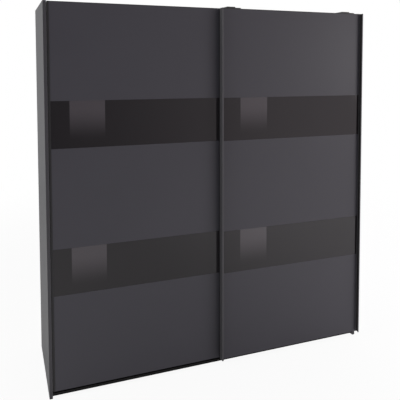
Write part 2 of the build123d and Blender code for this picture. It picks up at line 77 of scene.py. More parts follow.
length_prop = partial(setting, min=0.0, precision=5, unit="LENGTH")
colour_prop = partial(setting, size=3, min=0.0, max=1.0, subtype="COLOR")
share_prop = partial(setting, min=0.0, max=1.0, subtype="FACTOR")
angle_prop = partial(setting, unit="ROTATION")
power_prop = partial(setting, unit="POWER")


class WardrobeSizes(bpy.types.PropertyGroup):
    """Sizes of the drawn, turned and printed details."""

    grip_wall: length_prop("Grip wall", "Thickness of a grip profile's outer wall", 2.5 * MM)
    grip_lip: length_prop("Grip lip", "Reach of a grip profile's lip over the channel", 8.0 * MM)
    grip_lip_thick: length_prop("Lip thickness", "Thickness of a grip profile's lip", 2.0 * MM)
    trim_wall: length_prop("Trim wall", "Thickness of a flat edge profile's outer wall", 2.0 * MM)
    leg_thick: length_prop("Leg thickness", "Thickness of the legs that clasp the door board", 1.2 * MM)
    rib_wide: length_prop("Running rib", "Width of a running rib on the top track", 3.0 * MM)
    track_base: length_prop("Track base", "Thickness of the top track's base strip", 2.0 * MM)
    guide_wall: length_prop("Guide wall", "Thickness of the guide rail's ribs", 3.0 * MM)
    guide_pitch: length_prop("Guide pitch", "From the front rib to the middle rib", 18.5 * MM)
    guide_floor: length_prop("Guide floor", "Thickness of the guide rail's floor", 2.5 * MM)
    guide_rib: length_prop("Guide rib height", "Height of front and middle rib over the floor", 13.0 * MM)
    guide_depth: length_prop("Guide depth", "Depth of the guide rail before its fixing flange", 40.0 * MM)
    rail_wall: length_prop("Rail wall", "Wall of the oval clothes rail", 1.2 * MM)
    head_radius: length_prop("Screw head", "Radius of a pan head", 3.5 * MM)
    shank_radius: length_prop("Screw shank", "Radius of a screw's shank", 1.75 * MM)
    square_drop: length_prop("Square height", "Height over which a printed mirror square fades", 204.0 * MM)
    rear_square_start: length_prop("Rear square start", "From the rear door's left edge to its squares",
                                   99.0 * MM)
    rear_square_wide: length_prop("Rear square width", "Width of the rear door's squares", 173.0 * MM)
    front_square_start: length_prop("Front square start", "From the front door's left edge to its squares",
                                    115.0 * MM)
    front_square_wide: length_prop("Front square width", "Width of the front door's squares", 162.0 * MM)


class WardrobeColours(bpy.types.PropertyGroup):
    """Base colours of the finishes."""

    door: colour_prop("Door laminate", "Graphite laminate of the doors", (0.0535, 0.0520, 0.0645))
    carcass: colour_prop("Carcass laminate", "Graphite laminate of the carcass", (0.051, 0.050, 0.057))
    linen: colour_prop("Linen laminate", "Light grey linen print inside", (0.33, 0.325, 0.32))
    fibre: colour_prop("Fibre board", "Raw back of the back sheets", (0.235, 0.145, 0.085))
    glass: colour_prop("Lacquered glass", "Black lacquer behind the bands", (0.0180, 0.0160, 0.0185))
    mirror: colour_prop("Mirror print", "Silvered print of the squares", (0.078, 0.070, 0.079))
    grip: colour_prop("Grip aluminium", "Graphite anodised grip profiles", (0.088, 0.086, 0.093))
    trim: colour_prop("Trim aluminium", "Black anodised flat profiles", (0.03, 0.03, 0.032))
    track: colour_prop("Track aluminium", "Natural anodised track", (0.62, 0.63, 0.64))
    hanger: colour_prop("Hanger plastic", "Dark moulded hangers", (0.050, 0.050, 0.050))
    guide: colour_prop("Guide plastic", "Black extruded guide rail", (0.007, 0.007, 0.007))
    strip: colour_prop("Joint strip", "Grey extruded strip between the back sheets", (0.30, 0.30, 0.31))
    cup: colour_prop("Rail cups", "Dark moulded cups", (0.06, 0.06, 0.06))
    nylon: colour_prop("Wheel nylon", "Natural nylon of wheels and shoes", (0.75, 0.74, 0.70))
    rubber: colour_prop("Rubber", "End stops", (0.02, 0.02, 0.02))
    zinc: colour_prop("Zinc", "Zinc-plated steel", (0.55, 0.56, 0.57))
    chrome: colour_prop("Chrome", "Chrome-plated clothes rails", (0.75, 0.76, 0.77))
    floor: colour_prop("Floor", "Pale studio floor", (0.75, 0.75, 0.75))


class WardrobeStudio(bpy.types.PropertyGroup):
    """Camera and light."""

    camera_place: setting("Camera place", "Where the camera stands", (-1.096, -3.179, 1.663), size=3,
                          subtype="TRANSLATION", unit="LENGTH")
    camera_yaw: angle_prop("Camera yaw", "Turn of the camera to the right", math.radians(23.02))
    camera_pitch: angle_prop("Camera pitch", "How far the camera looks down", math.radians(3.36))
    camera_roll: angle_prop("Camera roll", "Tilt of the horizon", math.radians(-0.12))
    camera_lens: setting("Lens", "Focal length", 51.34, unit="CAMERA")
    shift_across: setting("Shift across", "Lens shift across", -0.1053)
    shift_up: setting("Shift up", "Lens shift upwards", -0.25)
    side_power: power_prop("Side light", "Power of the soft light on the left", 56.0)
    front_power: power_prop("Front light", "Power of the soft light on the right front", 23.0)
    floor_glow: share_prop("Floor glow", "How much the pale floor shines of itself", 0.28)
    floor_white: share_prop("Floor whiteness", "How far the floor is seen as paper white", 0.93)
    floor_reach: length_prop("Floor reach", "Radius of the studio floor", 5.5)
    sky_front: share_prop("Front sky", "Brightness of the surroundings in front of the doors", 0.10)
    sky_back: share_prop("Back sky", "Brightness of the surroundings behind", 0.54)


# ---- wiring of node trees

def rgba(colour, gain=1.0, lift=0.0):
    """A colour for a socket, times gain plus lift. A socket passes as it is."""
    if isinstance(colour, bpy.types.NodeSocket):
        return colour
    return (*(min(1.0, part * gain + lift) for part in colour[:3]), 1.0)


class Wiring:
    """Adds nodes to a tree and joins their sockets."""

    def __init__(self, tree):
        self.tree = tree

    def feed(self, socket, value):
        if isinstance(value, bpy.types.NodeSocket):
            self.tree.links.new(value, socket)
        else:
            socket.default_value = value

    def node(self, kind, *values, fed=None, **settings):
        """A node with its settings made, its first sockets fed with values and its labelled ones from fed."""
        made = self.tree.nodes.new("ShaderNode" + kind)
        for name, value in settings.items():
            setattr(made, name, value)
        for socket, value in (*enumerate(values), *(fed or {}).items()):
            self.feed(made.inputs[socket], value)
        return made

    def maths(self, operation, *values, clamp=False):
        return self.node("Math", *values, operation=operation, use_clamp=clamp).outputs[0]

    def plus(self, first, second):
        return self.maths("ADD", first, second)

    def minus(self, first, second):
        return self.maths("SUBTRACT", first, second)

    def times(self, *values, clamp=False):
        """The product of the values, its last step clamped if asked."""
        result = values[0]
        for value in values[1:-1]:
            result = self.maths("MULTIPLY", result, value)
        return self.maths("MULTIPLY", result, values[-1], clamp=clamp)

    def blend(self, first, second, share):
        """first times (1 - share) plus second times share."""
        return self.plus(self.times(first, self.minus(1.0, share)), self.times(second, share))

    def sway(self, value, strength, factor=4.0):
        """A tone about 1: 1 plus (value - 0.5) times strength times factor."""
        return self.plus(self.times(self.minus(value, 0.5), self.times(strength, factor)), 1.0)

    def ramp(self, value, low, high, out_low=0.0, out_high=1.0):
        """value from low to high, eased, as out_low to out_high."""
        values = (value, low, high, out_low, out_high)
        return self.node("MapRange", *values, interpolation_type="SMOOTHSTEP").outputs[0]

    def mix(self, share, first, second, blend="MIX"):
        fed = {0: share, 6: rgba(first), 7: rgba(second)}
        return self.node("Mix", fed=fed, data_type="RGBA", blend_type=blend).outputs[2]

    def toned(self, colour, *tones):
        """A colour multiplied by one tone after another."""
        for tone in tones:
            grey = self.node("CombineColor", tone, tone, tone).outputs[0]
            colour = self.mix(1.0, colour, grey, "MULTIPLY")
        return colour

    def place(self):
        return self.node("TexCoord").outputs["Object"]

    def noise(self, where, scale, detail=2.0, rough=0.5, warp=0.0):
        fed = {"Vector": where, "Scale": scale, "Detail": detail, "Roughness": rough, "Distortion": warp}
        return self.node("TexNoise", fed=fed).outputs["Fac"]

    def cells(self, where, scale, feature):
        return self.node("TexVoronoi", fed={"Vector": where, "Scale": scale}, feature=feature).outputs

    def stretched(self, where, scale):
        return self.node("VectorMath", where, scale, operation="MULTIPLY").outputs[0]

    def parts(self, vector):
        return self.node("SeparateXYZ", vector).outputs

    def normal(self):
        return self.node("NewGeometry").outputs["Normal"]

    def camera_ray(self):
        return self.node("LightPath").outputs["Is Camera Ray"]

    def effect(self, name, *values):
        """The outputs of an effect, its inputs fed in their order."""
        return self.node("Group", *values, node_tree=bpy.data.node_groups[name]).outputs

    def cloudy(self, scale, strength):
        return self.effect("cloudy_tone", scale, strength)["Tone"]

    def worn(self, radius, breakup):
        return self.effect("worn_edges", radius, breakup)["Mask"]

    def dust(self, amount, scale):
        return self.effect("settled_dust", amount, scale)["Mask"]

    def marks(self, scale, amount):
        return self.effect("hair_scratches", scale, amount)["Mask"]

    def linen(self):
        return self.effect("linen_weave", 1300.0, 0.22)


# ---- effects: each becomes one shader node group

def cloudy_tone(w, *, scale=3.0, strength=0.05):
    """Slow change of tone over a surface: 1 plus a large soft noise, scaled by Strength."""
    soft = w.noise(w.place(), scale, 3.0, 0.55, 0.6)
    return {"Tone": w.sway(soft, strength)}


def pearl_grain(w, *, scale=900.0, speckle=0.06):
    """Fine pressed pearl texture: rounded cells over a fine noise, as a height, and a speckle of tone."""
    where = w.place()
    cells = w.cells(where, scale, "SMOOTH_F1")["Distance"]
    fine = w.noise(where, w.times(scale, 1.7), 2.0)
    speck = w.noise(where, w.times(scale, 0.6), 3.0, 0.7)
    return {"Height": w.plus(w.times(cells, 0.6), w.times(fine, 0.4)), "Tone": w.sway(speck, speckle)}


def worn_edges(w, *, radius=1.5 * MM, breakup=60.0):
    """Wear where an edge is handled: the turn between a rounded and the true normal, broken up by noise."""
    rounded = w.node("Bevel", radius, samples=4).outputs[0]
    match = w.node("VectorMath", rounded, w.normal(), operation="DOT_PRODUCT").outputs["Value"]
    edge = w.ramp(w.minus(1.0, match), 0.01, 0.16)
    patchy = w.ramp(w.noise(w.place(), breakup, 4.0, 0.65), 0.38, 0.62)
    return {"Mask": w.times(edge, patchy, clamp=True)}


def settled_dust(w, *, amount=0.4, scale=25.0):
    """Dust on what faces up: the normal's upward share above a threshold, broken up by noise."""
    upward = w.ramp(w.parts(w.normal())[2], 0.75, 0.98)
    where = w.place()
    patchy = w.ramp(w.noise(where, scale, 5.0, 0.65), 0.3, 0.75)
    grit = w.noise(where, w.times(scale, 40.0), 2.0)
    film = w.times(patchy, w.plus(w.times(grit, 0.6), 0.6))
    return {"Mask": w.times(upward, film, amount, clamp=True)}


def hair_scratches(w, *, scale=1.0, amount=0.5):
    """Thin wiping marks: crests of two noises that are long one way, kept where a slow noise lets them."""
    where = w.place()
    marks = []
    ways = (((0.3, 0.5, 0.9), (14.0, 14.0, 900.0)), ((-0.6, 0.2, -0.4), (700.0, 700.0, 9.0)))
    for turned_by, stretch in ways:
        along = w.node("Mapping", fed={"Vector": where, "Rotation": turned_by, "Scale": stretch}).outputs[0]
        crest = w.maths("ABSOLUTE", w.minus(w.noise(along, scale, 1.0), 0.5))
        marks.append(w.ramp(crest, 0.012, 0.0))
    gate = w.ramp(w.noise(where, w.times(scale, 5.0), 2.0), 0.5, 0.72)
    return {"Mask": w.times(w.maths("MAXIMUM", *marks), gate, amount, clamp=True)}


def drawn_streaks(w, *, stretch=(900.0, 900.0, 2.0), strength=0.1):
    """Die lines of a drawn or brushed piece: noise squeezed across the piece and long along it."""
    lines = w.noise(w.stretched(w.place(), stretch), 1.0, 4.0, 0.6)
    return {"Height": lines, "Tone": w.sway(lines, strength)}


def linen_weave(w, *, thread=1300.0, contrast=0.25):
    """A printed linen: threads along each axis from noises long one way, and slubs from a slow noise."""
    where = w.place()
    threads = []
    for axis in range(3):
        stretch = [thread] * 3
        stretch[axis] = w.times(thread, 0.035)
        squeezed = w.stretched(where, w.node("CombineXYZ", *stretch).outputs[0])
        threads.append(w.noise(squeezed, 1.0, 2.0, 0.6))
    weave = w.ramp(w.plus(w.plus(*threads[:2]), threads[2]), 1.15, 1.85)
    slub = w.noise(where, 34.0, 3.0, 0.6)
    mixed = w.plus(w.times(weave, 0.8), w.times(slub, 0.2))
    return {"Height": weave, "Tone": w.sway(mixed, contrast, 2.0)}


def printed_square(w, *, left=0.0, right=0.1, top=1.0, drop=0.17):
    """A printed square, fading downwards: 1 between Left and Right, full below Top, gone Drop below it."""
    x, _y, z = w.parts(w.place())
    soft = 0.6 * MM
    across = w.times(w.ramp(x, left, w.plus(left, soft)), w.ramp(x, right, w.minus(right, soft)))
    depth = w.maths("DIVIDE", w.minus(top, z), drop)
    fade = w.minus(1.0, w.ramp(depth, 0.17, 1.0))
    return {"Mask": w.times(across, w.times(w.ramp(depth, -0.001, 0.001), fade))}


EFFECTS = (cloudy_tone, pearl_grain, worn_edges, settled_dust, hair_scratches, drawn_streaks, linen_weave,
           printed_square)


def make_effect(work):
    """A shader node group named after work, with work's keywords as inputs and what it gives as outputs."""
    group = bpy.data.node_groups.new(work.__name__, "ShaderNodeTree")

    def add(label, way, kind="Float"):
        return group.interface.new_socket(label.title(), in_out=way, socket_type="NodeSocket" + kind)

    for label, value in work.__kwdefaults__.items():
        add(label, "INPUT", "Vector" if isinstance(value, tuple) else "Float").default_value = value
    w = Wiring(group)
    inlet = group.nodes.new("NodeGroupInput").outputs
    given = work(w, **{label: inlet[label.title()] for label in work.__kwdefaults__})
    for label in given:
        add(label, "OUTPUT")
    outlet = group.nodes.new("NodeGroupOutput").inputs
    for label, value in given.items():
        w.feed(outlet[label], value)


# ---- finishes

class Finish(Wiring):
    """A material with one Principled shader, its fixed values set on the shader itself."""

    def __init__(self, name, **shader):
        self.material = bpy.data.materials.new(name)
        self.material.use_nodes = True
        super().__init__(self.material.node_tree)
        self.tree.nodes.clear()
        surface = self.node("BsdfPrincipled")
        self.surface = surface.inputs
        self.set(**shader)
        self.out = self.node("OutputMaterial", surface.outputs[0]).inputs[0]

    def set(self, **inputs):
        for label, value in inputs.items():
            self.feed(self.surface[label.replace("_", " ")], value)

    def lay(self, base, rough, height, relief, strength=1.0, **others):
        """Feeds colour, roughness, a bump of height, relief deep, and others, and gives the material."""
        fed = {"Height": height, "Distance": relief, "Strength": strength}
        normal = self.node("Bump", fed=fed).outputs[0]
        self.set(Base_Color=base, Roughness=rough, Normal=normal, **others)
        return self.material


def laminate_coat(w, colour):
    """Colour, roughness and height of a pearl-textured laminate with wiping marks, worn edges and dust."""
    pearl = w.effect("pearl_grain", 900.0, 0.05)
    cloudy, dust = w.cloudy(2.3, 0.03), w.dust(0.55, 22.0)
    base = w.toned(colour, pearl["Tone"], cloudy)
    base = w.mix(w.times(w.worn(1.4 * MM, 45.0), 0.35), base, rgba(colour, 2.2, 0.01))
    rough = w.plus(w.times(cloudy, 0.42), w.times(dust, 0.4))
    rough = w.minus(rough, w.times(w.marks(1.0, 0.35), 0.12))
    return w.mix(dust, base, BOARD_DUST), rough, pearl["Height"]


def board_laminate(name, colour, dark_top):
    """Matte graphite laminate, darker along the top of its face from the height dark_top up."""
    w = Finish(name, IOR=1.5)
    base, rough, height = laminate_coat(w, colour)
    # Darker strip along the top of the door's face, from dark_top up.
    band = w.ramp(w.parts(w.place())[2], dark_top, dark_top + 1.5 * MM)
    return w.lay(w.mix(band, base, rgba(colour, 0.45)), rough, height, 0.06 * MM)


def two_sided_board(name, colour, linen, linen_side):
    """Graphite laminate outside and on the edges, linen print on the faces whose normal passes linen_side."""
    w = Finish(name, IOR=1.5)
    base, rough, height = laminate_coat(w, colour)
    weave, inside = w.linen(), linen_side(w)
    base = w.mix(inside, base, w.toned(linen, weave["Tone"], w.cloudy(1.6, 0.02)))
    rough = w.plus(rough, w.times(inside, 0.12))
    return w.lay(base, rough, w.blend(height, weave["Height"], inside), 0.07 * MM)


def faces_along(axis, sense):
    """A mask of the faces whose normal points along axis (0, 1 or 2) times sense."""
    return lambda w: w.ramp(w.times(w.parts(w.normal())[axis], sense), 0.6, 0.8)


def all_but_front(w):
    """A mask of every face but the front edge."""
    return w.minus(1.0, w.ramp(w.times(w.parts(w.normal())[1], -1.0), 0.45, 0.7))


def back_sheet(name, linen, fibre):
    """A linen print on the front, raw pressed fibre on the back and the edges."""
    w = Finish(name, IOR=1.45)
    weave, where = w.linen(), w.place()
    felt = w.noise(where, 420.0, 5.0, 0.7)
    flecks = w.ramp(w.noise(w.stretched(where, (160.0, 160.0, 60.0)), 1.0, 4.0, 0.7), 0.35, 0.7)
    raw = w.toned(fibre, w.plus(w.times(felt, 0.5), 0.75), w.cloudy(3.0, 0.06))
    raw = w.mix(w.times(flecks, 0.35), raw, rgba(fibre, 1.5))
    front = faces_along(1, -1.0)(w)
    base = w.mix(front, raw, w.toned(linen, weave["Tone"]))
    return w.lay(base, w.ramp(front, 0.0, 1.0, 0.85, 0.6), w.blend(felt, weave["Height"], front), 0.1 * MM)


def lacquered_glass(name, colour, mirror, squares, drop):
    """Float glass lacquered on the back, with mirror squares under it; squares is (left, right, tops)."""
    w = Finish(name, IOR=1.5, Coat_Roughness=0.02, Coat_IOR=1.4)
    left, right, tops = squares
    square = w.maths("MAXIMUM", *[w.effect("printed_square", left, right, top, drop)["Mask"] for top in tops])
    smudge = w.ramp(w.noise(w.place(), 16.0, 5.0, 0.65, 1.2), 0.5, 0.8)
    base = w.mix(square, w.toned(colour, w.cloudy(2.0, 0.05)), mirror)
    rough = w.plus(w.plus(w.times(smudge, 0.05), w.times(w.marks(0.8, 0.5), 0.08)), 0.06)
    return w.lay(base, rough, w.noise(w.place(), 7.0, 1.0), 0.2 * MM, 0.4, Coat_Weight=w.times(square, 0.3))


def drawn_metal(name, colour, stretch, rough, metallic=1.0, shade=None):
    """Anodised or brushed metal with die lines along it. shade names an attribute of a channel's inner faces,
    which get painted shade: near black, with no metal.
    """
    w = Finish(name, IOR=1.5)
    lines = w.effect("drawn_streaks", stretch, 0.05)
    dust = w.dust(0.4, 60.0)
    base = w.toned(colour, lines["Tone"], w.cloudy(6.0, 0.03))
    base = w.mix(w.times(w.worn(0.8 * MM, 90.0), 0.3), base, rgba(colour, 1.8, 0.02))
    base = w.mix(dust, base, FITTING_DUST)
    metal = w.minus(metallic, w.times(dust, metallic))
    # Painted shade: the channel's inner faces are painted near black and lose their metal, standing in for
    # the shadow inside the grip.
    if shade:
        inside = w.node("Attribute", attribute_name=shade).outputs["Fac"]
        base = w.mix(inside, base, CHANNEL_PAINTED_SHADE)
        metal = w.times(metal, w.minus(1.0, inside))
    rough = w.plus(w.times(lines["Tone"], rough), w.times(dust, 0.4))
    return w.lay(base, rough, lines["Height"], 0.03 * MM, Metallic=metal)


def moulded_plastic(name, colour, rough, scale=1400.0, relief=0.04 * MM, coat=0.0, ior=1.5):
    """Moulded or extruded plastic: fine spark texture, flow clouds, rubbed edges and dust."""
    w = Finish(name, IOR=ior, Coat_Weight=coat, Coat_Roughness=0.3)
    pearl = w.effect("pearl_grain", scale, 0.05)
    cloudy, dust = w.cloudy(14.0, 0.05), w.dust(0.16, 160.0)
    base = w.toned(colour, pearl["Tone"], cloudy)
    base = w.mix(w.times(w.worn(0.9 * MM, 120.0), 0.4), base, rgba(colour, 1.6, 0.02))
    rough = w.plus(w.times(cloudy, rough), w.times(dust, 0.3))
    return w.lay(w.mix(dust, base, FITTING_DUST), rough, pearl["Height"], relief)


def zinc_plate(name, colour):
    """Zinc-plated steel: blotched spangle, cloudy gloss and bright rubbed edges."""
    w = Finish(name, Metallic=1.0)
    where = w.place()
    cells = w.cells(where, 260.0, "F1")["Color"]
    cloudy = w.cloudy(30.0, 0.06)
    base = w.toned(colour, w.ramp(w.parts(cells)[0], 0.0, 1.0, 0.88, 1.08), cloudy)
    base = w.mix(w.times(w.worn(0.6 * MM, 200.0), 0.5), base, RUBBED_ZINC)
    return w.lay(base, w.times(cloudy, 0.34), w.noise(where, 900.0, 3.0), 0.02 * MM)


def chrome_plate(name, colour):
    """Chrome plate: a bright mirror with faint polishing lines and finger marks."""
    w = Finish(name, Metallic=1.0)
    lines = w.effect("drawn_streaks", (3.0, 700.0, 700.0), 0.02)
    smudge = w.ramp(w.noise(w.place(), 22.0, 5.0, 0.6, 1.0), 0.5, 0.75)
    base, rough = w.toned(colour, lines["Tone"]), w.plus(w.times(smudge, 0.10), 0.07)
    return w.lay(base, rough, lines["Height"], 0.01 * MM)


def make_finishes(colours, sizes):
    """Every finish of the wardrobe by name."""
    boards = (colours.carcass, colours.linen)
    upright, level = (1500.0, 1500.0, 3.0), (3.0, 1500.0, 1500.0)
    made = {
        "inner_board": two_sided_board("inner board", *boards, all_but_front),
        "back_sheet": back_sheet("back sheet", colours.linen, colours.fibre),
        # The grip's channel faces get painted shade.
        "grip": drawn_metal("grip aluminium", colours.grip, upright, 0.46, 0.2, "channel"),
        "trim": drawn_metal("trim aluminium", colours.trim, upright, 0.42, 0.4),
        "track": drawn_metal("track aluminium", colours.track, level, 0.38),
        "hanger": moulded_plastic("hanger plastic", colours.hanger, 0.42),
        "guide": moulded_plastic("guide plastic", colours.guide, 0.45, 1100.0, 0.02 * MM, ior=1.3),
        "strip": moulded_plastic("joint strip plastic", colours.strip, 0.5, 1100.0, 0.02 * MM),
        "cup": moulded_plastic("cup plastic", colours.cup, 0.4),
        "glider": moulded_plastic("glider plastic", colours.guide, 0.5),
        "nylon": moulded_plastic("wheel nylon", colours.nylon, 0.36, 1800.0, 0.02 * MM, 0.1),
        "rubber": moulded_plastic("stop rubber", colours.rubber, 0.75, 1600.0, 0.06 * MM),
        "zinc": zinc_plate("zinc steel", colours.zinc),
        "chrome": chrome_plate("rail chrome", colours.chrome),
    }
    for hand, sense in HANDS:
        made["side_panel_" + hand] = two_sided_board("side panel " + hand, *boards, faces_along(0, sense))
    starts = (sizes.rear_square_start, sizes.front_square_start)
    widths = (sizes.rear_square_wide, sizes.front_square_wide)
    for door, start, wide in zip(DOORS, starts, widths):
        plain = door.replace("_", " ")
        # Height from which the door's face is darker along its top.
        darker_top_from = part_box(door + "_leaf")[1].z - 4.5 * MM
        made[door + "_leaf"] = board_laminate(plain + " laminate", colours.door, darker_top_from)
        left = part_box(door + "_edge_left")[0].x + start
        tops = [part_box(door + "_glass_" + band)[1].z for band in ("upper", "lower")]
        made[door + "_glass"] = lacquered_glass(plain + " glass", colours.glass, colours.mirror,
                                                (left, left + wide, tops), sizes.square_drop)
    return made


FINISHES = {}


def finish(name):
    """A finish by name. All are made at the first call, after their effects."""
    if not FINISHES:
        for work in EFFECTS:
            make_effect(work)
        scene = bpy.context.scene
        FINISHES.update(make_finishes(scene.wardrobe_colours, scene.wardrobe_sizes))
    return FINISHES[name]


def dress(node, name):
    """Gives a carried-over node one of the finishes."""
    materials = NODES[node].data.materials
    materials.clear()
    materials.append(finish(name))


# ---- surfaces

def grid_quads(rows, columns, around=True, along=False):
    """Quads of a grid stored row by row. around joins last column to first, along joins last row to first."""
    row = np.arange(rows if along else rows - 1)[:, None]
    column = np.arange(columns if around else columns - 1)[None, :]
    next_row, next_column = (row + 1) % rows, (column + 1) % columns
    corners = [row * columns + column, row * columns + next_column,
               next_row * columns + next_column, next_row * columns + column]
    return np.stack(np.broadcast_arrays(*corners), -1).reshape(-1, 4)


def rounded_outline(corners, reach, steps=4):
    """A closed outline with rounded corners.

    At each corner the point at share t is (1-t)^2 A + 2t(1-t) P + t^2 B, where P is the corner and A and B
    lie on its two edges, reach before and after it, or 0.45 of the edge where that is shorter.
    """
    corners, reach = np.asarray(corners, float), reach[:, None]
    back, ahead = np.roll(corners, 1, 0) - corners, np.roll(corners, -1, 0) - corners
    back_long, ahead_long = (np.linalg.norm(v, axis=1, keepdims=True) for v in (back, ahead))
    start = corners + back / back_long * np.minimum(reach, 0.45 * back_long)
    end = corners + ahead / ahead_long * np.minimum(reach, 0.45 * ahead_long)
    t = np.linspace(0.0, 1.0, steps + 1)[None, :, None]
    arc = (1 - t) ** 2 * start[:, None] + 2 * t * (1 - t) * corners[:, None] + t ** 2 * end[:, None]
    return arc.reshape(-1, 2)


def outward(outline):
    """Unit vectors out of a closed outline: its chord from neighbour to neighbour, turned a quarter."""
    ahead = np.roll(outline, -1, 0)
    chord = ahead - np.roll(outline, 1, 0)
    across = np.stack([chord[:, 1], -chord[:, 0]], 1)
    area = np.sum(outline[:, 0] * ahead[:, 1] - ahead[:, 0] * outline[:, 1])
    return across / np.linalg.norm(across, axis=1, keepdims=True) * np.sign(area)


def carried(outline, stations, axis, hollow=False):
    """An outline carried straight along X or Z.

    Point (i, s) is outline(s) moved inwards by stations[i]'s inset, at stations[i]'s place on the axis.
    A solid bar gets a flat cap at each end; a hollow one is joined from its last station to its first.
    """
    stations = np.asarray(stations, float)
    flat = outline[None] - outward(outline)[None] * stations[:, 1][:, None, None]
    along = np.broadcast_to(stations[:, 0][:, None, None], (*flat.shape[:2], 1))
    order = [2, 0, 1] if axis == "X" else [0, 1, 2]
    points = np.concatenate([flat, along], 2)[..., order].reshape(-1, 3)
    count = len(outline)
    faces = grid_quads(len(stations), count, True, hollow).tolist()
    if not hollow:
        faces += [list(range(count)), list(range(len(points) - count, len(points)))]
    return points, faces


def bar_stations(low, high, ease):
    """Stations of a solid bar whose ends are eased."""
    return [(low, ease), (low + ease, 0.0), (high - ease, 0.0), (high, ease)]


def turned(profile, steps=48, ring=False, relief=None):
    """A (radius, height) profile turned round: point (i, a) is (r cos a, r sin a, h + relief(r, a, h))."""
    profile = np.asarray(profile, float)
    angle = np.linspace(0.0, 2 * np.pi, steps, endpoint=False)[None, :]
    radius, height = profile[:, :1], profile[:, 1:]
    lift = relief(radius, angle, height) if relief else 0.0
    points = np.stack([radius * np.cos(angle), radius * np.sin(angle), height + lift + 0.0 * angle], -1)
    return points.reshape(-1, 3), grid_quads(len(profile), steps, True, ring).tolist()


def placed(points, origin, axis, sense=1.0):
    """Moves local points (x, y, h) so that h runs along the named axis times sense from origin."""
    order = {"X": [2, 0, 1], "Y": [0, 2, 1], "Z": [0, 1, 2]}[axis]
    return (points * (1.0, 1.0, sense))[:, order] + np.asarray(origin, float)


def joined(parts):
    """Several (points, faces) as one."""
    starts = np.cumsum([0] + [len(points) for points, _faces in parts])
    faces = [[int(i) + int(start) for i in face]
             for start, (_points, part) in zip(starts, parts) for face in part]
    return np.concatenate([points for points, _faces in parts]), faces


def disc_head(radius, tall, arm_long, arm_half, recess, skirt, shank, shank_long):
    """A round head with a cross recess, on a shank.

    Its top is a square grid (u, v) drawn onto a disc, x = u sqrt(1 - v^2/2) and y = v sqrt(1 - u^2/2), at
    height tall - dome * (x^2 + y^2), lowered by recess inside the cross; rings below it make skirt and shank.
    """
    half = np.array([0.0, arm_half - 0.02, arm_half + 0.02, arm_long - 0.03, arm_long + 0.02, 0.86, 1.0])
    line = np.concatenate([-half[:0:-1], half])
    u, v = np.meshgrid(line, line, indexing="ij")
    x, y = u * np.sqrt(1 - v ** 2 / 2), v * np.sqrt(1 - u ** 2 / 2)
    arm = ((abs(u) < arm_half) & (abs(v) < arm_long)) | ((abs(v) < arm_half) & (abs(u) < arm_long))
    height = tall - (tall - skirt) * (x ** 2 + y ** 2) - recess * arm
    points = np.stack([x * radius, y * radius, height], -1).reshape(-1, 3)
    count = len(line)
    faces = grid_quads(count, count, False).tolist()
    rim = np.flatnonzero((abs(u) == 1.0).ravel() | (abs(v) == 1.0).ravel())
    rim = rim[np.argsort(np.arctan2(points[rim, 1], points[rim, 0]))]
    ray = points[rim, :2] / np.linalg.norm(points[rim, :2], axis=1, keepdims=True)
    rings = [(radius, 0.0), (shank, 0.0), (shank, shank * 0.8 - shank_long), (shank * 0.15, -shank_long)]
    if shank_long <= 0.0:
        rings = [(radius, shank_long)]
    lower = [np.concatenate([ray * r, np.full((len(rim), 1), h)], 1) for r, h in rings]
    points = np.concatenate([points, *lower])
    index = np.concatenate([rim, np.arange(count * count, len(points))]).reshape(len(rings) + 1, len(rim))
    faces += index.ravel()[grid_quads(len(rings) + 1, len(rim))].tolist()
    faces.append(index[-1].tolist())
    return points, faces


def clumps(points, gap):
    """Splits a node's points into clumps that a clear gap along X, Y or Z keeps apart."""
    for axis in range(3):
        order = np.argsort(points[:, axis])
        cuts = np.flatnonzero(np.diff(points[order, axis]) > gap) + 1
        if len(cuts):
            return [c for part in np.split(points[order], cuts) for c in clumps(part, gap)]
    return [points]


def vectors(items, label):
    """A vector of each of a mesh's vertices or faces, such as its place or its normal, as rows."""
    values = np.empty(len(items) * 3, np.float32)
    items.foreach_get(label, values)
    return values.reshape(-1, 3).astype(float)


def clump_boxes(node, gap=30.0 * MM):
    """The low and the high corner of each clump of a node's points."""
    points = vectors(NODES[node].data.vertices, "co")
    return [(clump.min(0), clump.max(0)) for clump in clumps(points, gap)]


def put(name, data):
    """A new object in the scene, at its origin."""
    made = bpy.data.objects.new(name, data)
    bpy.context.scene.collection.objects.link(made)
    return made


def build(name, shape, material, body, node, shade=None):
    """A piece from (points, faces): closed, its faces turned outwards, shaded and put on its body."""
    points, faces = shape
    mesh = bpy.data.meshes.new(name)
    mesh.from_pydata(points.tolist(), [], faces)
    work = bmesh.new()
    work.from_mesh(mesh)
    bmesh.ops.remove_doubles(work, verts=work.verts, dist=1e-6)
    bmesh.ops.recalc_face_normals(work, faces=work.faces)
    work.to_mesh(mesh)
    work.free()
    mesh.shade_smooth()
    mesh.set_sharp_from_angle(angle=math.radians(32.0))
    mesh.materials.append(finish(material))
    if mesh.validate():
        raise RuntimeError(name + " has faulty faces")
    # The face attribute carries the painted shade mask of a grip channel.
    if shade:
        values = shade(vectors(mesh.polygons, "center"), vectors(mesh.polygons, "normal")).astype(np.float32)
        mesh.attributes.new("channel", "FLOAT", "FACE").data.foreach_set("value", values)
    piece = put(name, mesh)
    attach(piece, body)
    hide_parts(node)


# ---- operators

def sizes():
    return bpy.context.scene.wardrobe_sizes


class PieceOperator:
    """What every operator of the wardrobe shares."""

    bl_options = {"REGISTER", "UNDO"}


DONE = {"FINISHED"}


